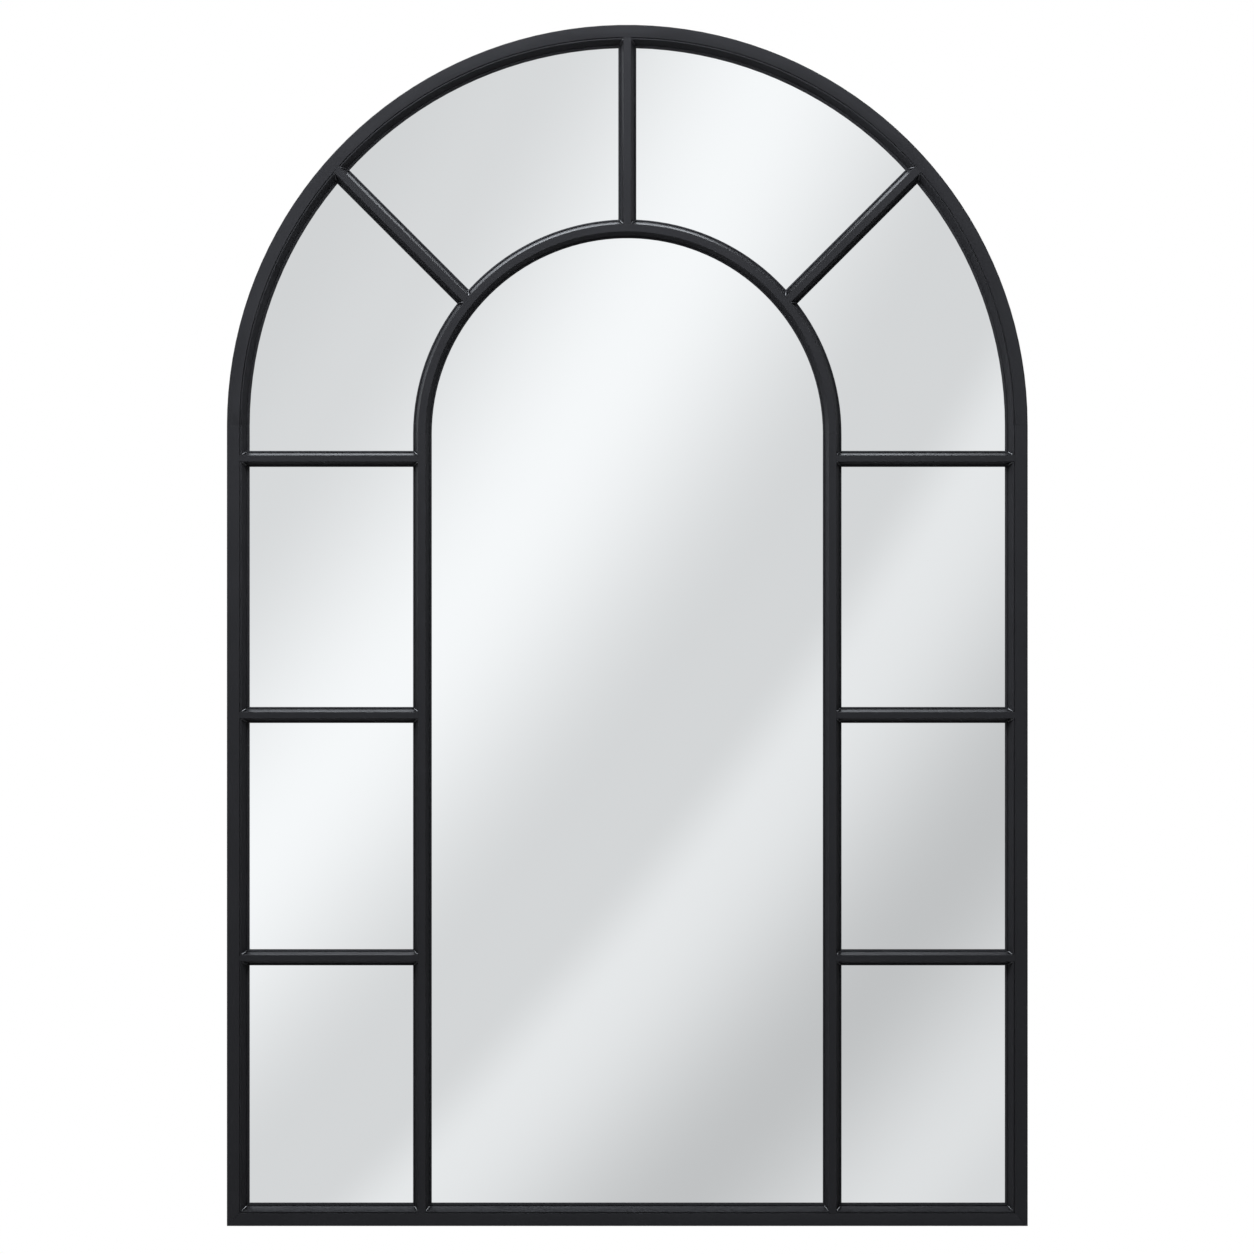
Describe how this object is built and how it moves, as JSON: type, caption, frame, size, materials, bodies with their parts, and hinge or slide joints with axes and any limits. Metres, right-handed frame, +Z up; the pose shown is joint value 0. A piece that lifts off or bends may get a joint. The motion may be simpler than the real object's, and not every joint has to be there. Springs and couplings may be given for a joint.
{
  "type": "wall mirror",
  "caption": "Arched wall mirror like a divided sash window: thin black moulded metal frame, inner arch, fan of spokes and side panes.",
  "frame": {"origin": "middle of the bottom edge, halfway between the front faces of the bars and the wall", "axes": "+Z up, +X to the right as the mirror is looked into, +Y from the front to the wall"},
  "size_m": [0.8, 0.026, 1.1999],
  "materials": {
    "black_steel": "satin black powder coat",
    "silvered_glass": "polished",
    "hardboard": "matt, smooth pressed face",
    "foam_tape": "matt",
    "zinc_steel": "bright zinc plated",
    "bumper_rubber": "matt"
  },
  "bodies": {
    "frame": {"backing_panel": "hardboard", "bottom_rail": "black_steel", "centre_pane": "silvered_glass", "glazing_bar_foam": "foam_tape", "inner_arch": "black_steel", "left_bottom_pane": "silvered_glass", "left_inner_stile": "black_steel", "left_lower_pane": "silvered_glass", "left_outer_stile": "black_steel", "left_side_fan_pane": "silvered_glass", "left_spoke": "black_steel", "left_strap_hanger": "zinc_steel", "left_top_fan_pane": "silvered_glass", "left_upper_pane": "silvered_glass", "lower_left_glazing_bar": "black_steel", "lower_right_glazing_bar": "black_steel", "middle_left_glazing_bar": "black_steel", "middle_right_glazing_bar": "black_steel", "outer_arch": "black_steel", "perimeter_foam": "foam_tape", "right_bottom_pane": "silvered_glass", "right_inner_stile": "black_steel", "right_lower_pane": "silvered_glass", "right_outer_stile": "black_steel", "right_side_fan_pane": "silvered_glass", "right_spoke": "black_steel", "right_strap_hanger": "zinc_steel", "right_top_fan_pane": "silvered_glass", "right_upper_pane": "silvered_glass", "strap_rivets": "zinc_steel", "top_spoke": "black_steel", "turn_button_rivets": "zinc_steel", "upper_left_glazing_bar": "black_steel", "upper_right_glazing_bar": "black_steel", "wall_bumpers": "bumper_rubber"},
    "arch_left_turn_button": {"arch_left_turn_button": "zinc_steel"},
    "arch_right_turn_button": {"arch_right_turn_button": "zinc_steel"},
    "left_hanging_ring": {"left_hanging_ring": "zinc_steel"},
    "lower_left_turn_button": {"lower_left_turn_button": "zinc_steel"},
    "lower_right_turn_button": {"lower_right_turn_button": "zinc_steel"},
    "middle_left_turn_button": {"middle_left_turn_button": "zinc_steel"},
    "middle_right_turn_button": {"middle_right_turn_button": "zinc_steel"},
    "rail_left_turn_button": {"rail_left_turn_button": "zinc_steel"},
    "rail_right_turn_button": {"rail_right_turn_button": "zinc_steel"},
    "right_hanging_ring": {"right_hanging_ring": "zinc_steel"}
  },
  "joints": [
    {"name": "arch_left_turn_button_pivot", "type": "hinge", "parent": "frame", "child": "arch_left_turn_button", "pos_m": [-0.27839, 0.0077, 1.07839], "axis": [0, 1, 0], "continuous": true},
    {"name": "arch_right_turn_button_pivot", "type": "hinge", "parent": "frame", "child": "arch_right_turn_button", "pos_m": [0.27839, 0.0077, 1.07839], "axis": [0, 1, 0], "continuous": true},
    {"name": "left_hanging_ring_swing", "type": "hinge", "parent": "frame", "child": "left_hanging_ring", "pos_m": [-0.392, 0.0097, 0.742], "axis": [1, 0, 0], "range_deg": [0, 180]},
    {"name": "lower_left_turn_button_pivot", "type": "hinge", "parent": "frame", "child": "lower_left_turn_button", "pos_m": [-0.3937, 0.0077, 0.152], "axis": [0, 1, 0], "continuous": true},
    {"name": "lower_right_turn_button_pivot", "type": "hinge", "parent": "frame", "child": "lower_right_turn_button", "pos_m": [0.3937, 0.0077, 0.152], "axis": [0, 1, 0], "continuous": true},
    {"name": "middle_left_turn_button_pivot", "type": "hinge", "parent": "frame", "child": "middle_left_turn_button", "pos_m": [-0.3937, 0.0077, 0.48], "axis": [0, 1, 0], "continuous": true},
    {"name": "middle_right_turn_button_pivot", "type": "hinge", "parent": "frame", "child": "middle_right_turn_button", "pos_m": [0.3937, 0.0077, 0.48], "axis": [0, 1, 0], "continuous": true},
    {"name": "rail_left_turn_button_pivot", "type": "hinge", "parent": "frame", "child": "rail_left_turn_button", "pos_m": [-0.2, 0.0077, 0.0063], "axis": [0, 1, 0], "continuous": true},
    {"name": "rail_right_turn_button_pivot", "type": "hinge", "parent": "frame", "child": "rail_right_turn_button", "pos_m": [0.2, 0.0077, 0.0063], "axis": [0, 1, 0], "continuous": true},
    {"name": "right_hanging_ring_swing", "type": "hinge", "parent": "frame", "child": "right_hanging_ring", "pos_m": [0.392, 0.0097, 0.742], "axis": [1, 0, 0], "range_deg": [0, 180]}
  ]
}
